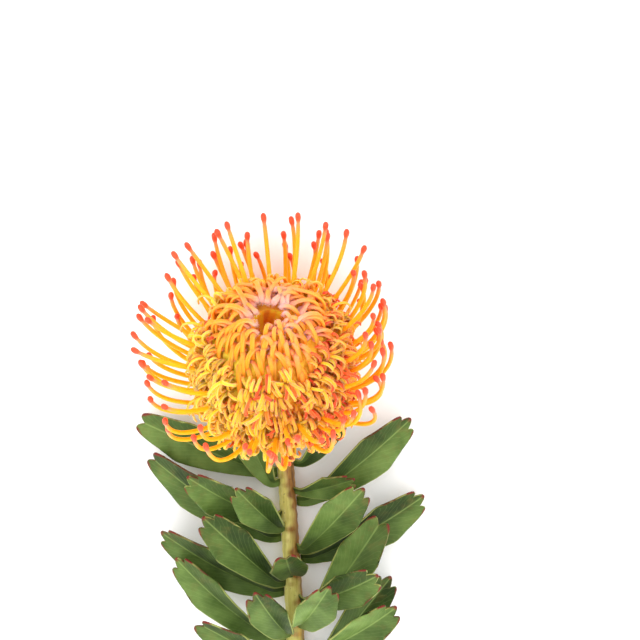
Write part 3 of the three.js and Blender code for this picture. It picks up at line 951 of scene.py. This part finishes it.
def build_core():
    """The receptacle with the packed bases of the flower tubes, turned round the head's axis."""
    bm = new_bmesh()
    verts = [bm.verts.new((r, 0, s)) for r, s in CORE_PROFILE]
    edges = [bm.edges.new(pair) for pair in zip(verts, verts[1:])]
    bmesh.ops.subdivide_edges(bm, edges=edges, cuts=4)
    bmesh.ops.spin(
        bm, geom=list(bm.verts) + list(bm.edges), cent=(0, 0, 0), axis=(0, 0, 1),
        angle=2 * math.pi, steps=144, use_merge=True, use_duplicate=False,
    )
    bmesh.ops.remove_doubles(bm, verts=bm.verts, dist=0.001)
    greener_layer, streak_layer, hollow_layer = layers_of(bm)
    for vert in bm.verts:
        r = math.hypot(vert.co.x, vert.co.y)
        s = vert.co.z
        turn = math.atan2(vert.co.y, vert.co.x)
        # small mounds in two crossing spirals, on a core that swells above its foot
        mound = math.cos(16 * turn + 0.8 * s) * math.cos(16 * turn - 0.8 * s)
        lift = (1.2 + 1.3 * mound) * smooth((s - 5) / 6) + 2.6 * smooth((s - 12) / 10)
        raised = r + lift * smooth((r - 8) / 8)
        vert[hollow_layer] = 1.0 if r < 7 and s > 40 else 0.0
        # uneven streaks down the hollow's wall, which end in shade on its floor
        streak = 0.5 + 0.3 * math.cos(5 * turn + 1) + 0.2 * math.cos(11 * turn + 0.6 * s)
        vert[streak_layer] = mix(0.2, streak, smooth((r - 3) / 2.2))
        # greener on the left and near the crown, but not at the hollow's rim
        greener = 0.6 * smooth(0.1 + 0.8 * math.cos(turn - math.radians(200)))
        greener = clamp(greener + 0.4 * smooth((s - 34) / 8))
        vert[greener_layer] = greener * smooth((r - 9) / 4)
        vert.co = head_point(raised, s, 0, turn) * MM
    bmesh.ops.recalc_face_normals(bm, faces=bm.faces)
    finish_piece(bm, "receptacle", [core_material()], "flower_head")


# Involucre

def cup_radius(s):
    return between(CUP_RADII, (s + CUP_HEIGHT) / CUP_HEIGHT)


def build_involucre():
    """A cup with rings of small pointed bracts that overlap upwards."""
    bm = new_bmesh()
    cup = tube_template(24, CUP_RINGS)
    heights = [mix(-CUP_HEIGHT, -0.05, k / (CUP_RINGS - 1)) for k in range(CUP_RINGS)]
    points = [head_point(0, s, 0, 0) for s in heights]
    radii = [cup_radius(s) * 0.97 for s in heights]
    bend_tube(bm, cup, points, radii, side_of(0), span=(0, 0.5))
    last = len(BRACT_WIDTHS) - 1
    bract = tube_template(8, last + 1)
    for row in range(BRACT_ROWS):
        for n in range(BRACTS_IN_ROW):
            shift = 0.5 * (row % 2) + 0.15 * (chance(n, row) - 0.5)
            turn = (n + shift) / BRACTS_IN_ROW * 2 * math.pi
            foot = -CUP_HEIGHT + 0.3 + row * 1.55
            places = [min(foot + 4.2 * k / last, -0.25) for k in range(last + 1)]
            path = [head_point(cup_radius(s) + 0.12 * k, s, 0, turn) for k, s in enumerate(places)]
            path = [point + AXIS * (0.02 * k) for k, point in enumerate(path)]
            bend_tube(bm, bract, path, BRACT_WIDTHS, side_of(turn), flat=0.35)
    finish_piece(bm, "bracts", [bract_material()], "involucre")


# Stem

def stem_path():
    """Points 1 mm apart down the middle of the stem."""
    points = []
    top = head_point(0, -CUP_HEIGHT - GAP, 0, 0)
    for d in range(STEM_LENGTH + 1):
        points.append(top.copy())
        bend = smooth((d + 0.5) / STEM_BEND)
        slope = mix(HEAD_TILT, STEM_SLOPE, bend)
        wave = math.radians(1.1) * math.sin(d / STEM_LENGTH * 5.2)
        heading = mix(HEAD_LEAN, STEM_HEADING, bend) + wave
        top.x += math.sin(heading) * math.cos(slope)
        top.y -= math.cos(heading) * math.cos(slope)
        top.z -= math.sin(slope)
    return points


STEM = stem_path()


def stem_at(d):
    return STEM[min(round(d), STEM_LENGTH)]


def stem_radius(d):
    """The stem thickens to its cut end, and swells a little at the foot of each leaf."""
    radius = mix(STEM_TOP_RADIUS, STEM_END_RADIUS, d / STEM_LENGTH)
    for leaf in LEAVES:
        radius += 0.3 * math.exp(-(((d - leaf[0] - 1) / 1.6) ** 2))
    return radius


def node_mark(d, offset):
    """How near a point of the bark is to the foot of a leaf, from 0 to 1."""
    mark = 0
    for at, heading, rise, *_ in LEAVES:
        heading, rise = math.radians(heading), math.radians(rise)
        side = Vector((math.sin(heading) * math.cos(rise), 0, math.sin(rise))).normalized()
        mark += math.exp(-(((d - at - 1.5) / 1.5) ** 2)) * smooth(offset.normalized().dot(side))
    return clamp(mark)


def build_stem():
    """The bark, and the slanted cut with its rim, wood and pith."""
    bm = new_bmesh()
    template = tube_template(20, STEM_LENGTH + 1)
    radii = [stem_radius(d) * 0.985 for d in range(STEM_LENGTH + 1)]
    bend_tube(bm, template, STEM, radii, Vector((1, 0, 0)))
    ring_layer, painted_leaf_shade_layer, brown_and_shade_layer = layers_of(bm)
    for vert in bm.verts:
        d = round(vert[ring_layer] * STEM_LENGTH)
        offset = vert.co / MM - STEM[d]
        # browner near the head and at the leaves' feet; browner on the right is painted shade, away from
        # the key lamp
        brown_and_shade = 0.1 + 0.5 * offset.x / stem_radius(d) + 0.1 * math.sin(d * 0.13)
        brown_and_shade += 0.3 * smooth((45 - d) / 20)
        vert[brown_and_shade_layer] = clamp(brown_and_shade + 0.4 * node_mark(d, offset))
        # painted shade: darker olive towards the cut, where the leaves round the stem shade it
        vert[painted_leaf_shade_layer] = 0.7 * smooth((d - 60) / 40)
        vert[ring_layer] = 1.0
    # the cut end: a thin rim of bark, then wood and pith, whose colours follow the ring layer
    bm.normal_update()
    pith = [face for face in bm.faces if len(face.verts) > 4 and face.normal.y < -0.5]
    bmesh.ops.inset_region(bm, faces=pith, thickness=0.5 * MM, depth=0.0)
    wood = bmesh.ops.inset_region(bm, faces=pith, thickness=1.4 * MM, depth=0.0)["faces"]
    inner = bmesh.ops.inset_region(bm, faces=pith, thickness=1.0 * MM, depth=-0.15 * MM)["faces"]
    for face in wood + inner + pith:
        face.material_index = 1
    for faces, value in ((inner + pith, 0.3), (pith, 0.0)):
        for face in faces:
            for vert in face.verts:
                vert[ring_layer] = value
    # the cut is slanted: its lower side reaches further
    for vert in bm.verts:
        if vert.co.y < (STEM[-1].y + 0.4) * MM:
            vert.co.y += CUT_SLANT * (vert.co.z - STEM[-1].z * MM)
    finish_piece(bm, "stem_bark", [bark_material(), cut_material()], "stem")


# Leaves

LEAF_COLUMNS = 24
LEAF_STEPS = 34
MIDRIB_STEPS = 80


def build_leaf(number, leaf, material):
    """A stalkless blade, broadest past its middle, with a blunt toothed tip."""
    at, heading, rise, roll, length, half, teeth = leaf
    n = number - 1
    sign = (heading > 0) - (heading < 0)
    heading = math.radians(heading)
    rise = math.radians(rise)
    aim = Vector((
        math.sin(heading) * math.cos(rise), math.cos(heading) * math.cos(rise), math.sin(rise),
    ))
    stemway = (stem_at(at - 2) - stem_at(at + 2)).normalized()
    outward = (aim - stemway * aim.dot(stemway)).normalized()
    place = stem_at(at) + outward * (stem_radius(at) + GAP - 0.1)
    up = Vector((0, 0, 1))
    up.rotate(Matrix.Rotation(math.radians(roll), 3, aim))
    bow = math.radians(26 + 14 * (chance(n, 11) - 0.5))
    twist = math.radians(36 * (chance(n, 14) - 0.5))
    crease = 0.18 + 0.3 * chance(n, 15)
    sweep = math.radians(sign * -10 * chance(n, 12))
    # the midrib in small steps: its place and which way the blade lies there
    rows = []
    for k in range(MIDRIB_STEPS + 1):
        t = k / MIDRIB_STEPS
        along = outward.lerp(aim, smooth(t * length / LEAF_ELBOW)).normalized()
        wide = along.cross(up).normalized()
        along.rotate(Matrix.Rotation(bow * (0.5 - t), 3, wide))
        along.rotate(Matrix.Rotation(sweep * (t - 0.5), 3, up))
        wide.rotate(Matrix.Rotation(twist * t, 3, along))
        face = wide.cross(along).normalized()
        rows.append((place.copy(), wide, face, along))
        place = place + along * (length / MIDRIB_STEPS)

    bm = new_bmesh()
    rim_layer = bm.verts.layers.float.new("rim")
    callus_layer = bm.verts.layers.float.new("callus")
    tip_layer = bm.verts.layers.float.new("tip")
    tone_layer = bm.verts.layers.float["tone"]
    uv_layer = bm.loops.layers.uv.new("UVMap")
    bmesh.ops.create_grid(bm, x_segments=LEAF_COLUMNS, y_segments=LEAF_STEPS, size=1.0)
    flat = {}
    tone = chance(n, 13) * 0.55
    # painted light: the half of each blade that faces the near left, towards the key lamp, gets more of
    # the pale bloom colour
    lit = 1 if rows[MIDRIB_STEPS // 2][1].dot(Vector((-0.7, -0.7, 0))) > 0 else -1
    for vert in bm.verts:
        v = vert.co.x
        t = (vert.co.y + 1) / 2
        notch = 1 - abs(math.sin(math.pi / 2 * teeth * (v + 1)))
        reach = 1 - 0.2 * abs(v) ** 3 - LOBE_DEPTH / length * notch
        down = t * mix(1, reach, smooth((t - 0.5) / 0.5))
        spot = min(round(down * MIDRIB_STEPS), MIDRIB_STEPS)
        middle, wide, face, along = rows[spot]
        width = half * between(LEAF_OUTLINE, t)
        fold = crease * half * abs(v) ** 1.2 * smooth(t * 3) * mix(1, 0.6, smooth(2 * t - 1))
        wave = 0.5 * v * math.sin(t * 7 + n) * smooth(t * 2)
        groove = -0.25 * math.exp(-((v * width / 0.9) ** 2)) * smooth(t * 4) * smooth((1 - t) * 6)
        shift = down * MIDRIB_STEPS - spot
        point = middle + along * (shift * length / MIDRIB_STEPS) + wide * (v * width)
        point = point + face * (fold + wave + groove)
        flat[vert] = (v, t)
        side_gap = (1 - abs(v)) * width
        vert[rim_layer] = min(side_gap, (1 - t) * length * 0.9)
        vert[callus_layer] = smooth((0.4 - notch) / 0.4) * smooth((t - 0.94) / 0.05)
        vert[tip_layer] = t
        vert[tone_layer] = tone + 0.4 * smooth(0.5 + 1.6 * lit * v)
        vert.co = point * MM
    for face in bm.faces:
        for loop in face.loops:
            loop[uv_layer].uv = flat[loop.vert]
    bmesh.ops.recalc_face_normals(bm, faces=bm.faces)
    name = f"leaf_{number:02d}"
    piece = finish_piece(bm, f"{name}_blade", [material], name)
    wall = piece.modifiers.new("thickness", "SOLIDIFY")
    wall.thickness = LEAF_THICKNESS * MM
    wall.offset = 0


# Setting

def build_setting():
    """Pale floor, soft studio light and the camera that looks down on the flower."""
    bm = bmesh.new()
    bmesh.ops.create_grid(bm, x_segments=1, y_segments=1, size=FLOOR_REACH)
    mesh = bpy.data.meshes.new("floor")
    bm.to_mesh(mesh)
    bm.free()
    floor = bpy.data.objects.new("floor", mesh)
    bpy.context.scene.collection.objects.link(floor)
    material, _, shader = new_material("pale_backdrop", 0.9)
    shader.inputs["Base Color"].default_value = linear("#f7f7f6")
    mesh.materials.append(material)

    for name, place, size, power in LAMPS:
        lamp = bpy.data.lights.new(name, "AREA")
        lamp.size = size
        lamp.energy = power
        light = bpy.data.objects.new(name, lamp)
        light.location = place
        light.rotation_euler = (LAMP_TARGET - Vector(place)).to_track_quat("-Z", "Y").to_euler()
        bpy.context.scene.collection.objects.link(light)

    world = bpy.data.worlds.new("soft_white")
    world.use_nodes = True
    world.node_tree.nodes["Background"].inputs["Color"].default_value = linear(WHITE)
    world.node_tree.nodes["Background"].inputs["Strength"].default_value = WORLD_STRENGTH
    bpy.context.scene.world = world
    bpy.context.scene.view_settings.view_transform = "Standard"

    lens = bpy.data.cameras.new("camera")
    lens.sensor_width = SENSOR_WIDTH
    lens.lens = SENSOR_WIDTH * CAMERA_DISTANCE / (IMAGE_PIXELS * MM_PER_PIXEL)
    lens.clip_end = 10
    camera = bpy.data.objects.new("camera", lens)
    toward = Vector((0, -math.cos(CAMERA_ELEVATION), math.sin(CAMERA_ELEVATION)))
    right = Vector((1, 0, 0))
    top = toward.cross(right)
    crown = HEAD_BASE + AXIS * CROWN_HEIGHT
    aim = crown + right * ((IMAGE_PIXELS / 2 - CROWN_PIXEL[0]) * MM_PER_PIXEL)
    aim += top * ((CROWN_PIXEL[1] - IMAGE_PIXELS / 2) * MM_PER_PIXEL)
    turned = Matrix((right, top, toward)).transposed()
    camera.matrix_world = Matrix.Translation((aim + toward * CAMERA_DISTANCE) * MM) @ turned.to_4x4()
    bpy.context.scene.collection.objects.link(camera)
    bpy.context.scene.camera = camera


build_setting()
build_core()
build_head()
build_involucre()
build_stem()
leaf_green = leaf_material()
for number, leaf in enumerate(LEAVES, 1):
    build_leaf(number, leaf, leaf_green)
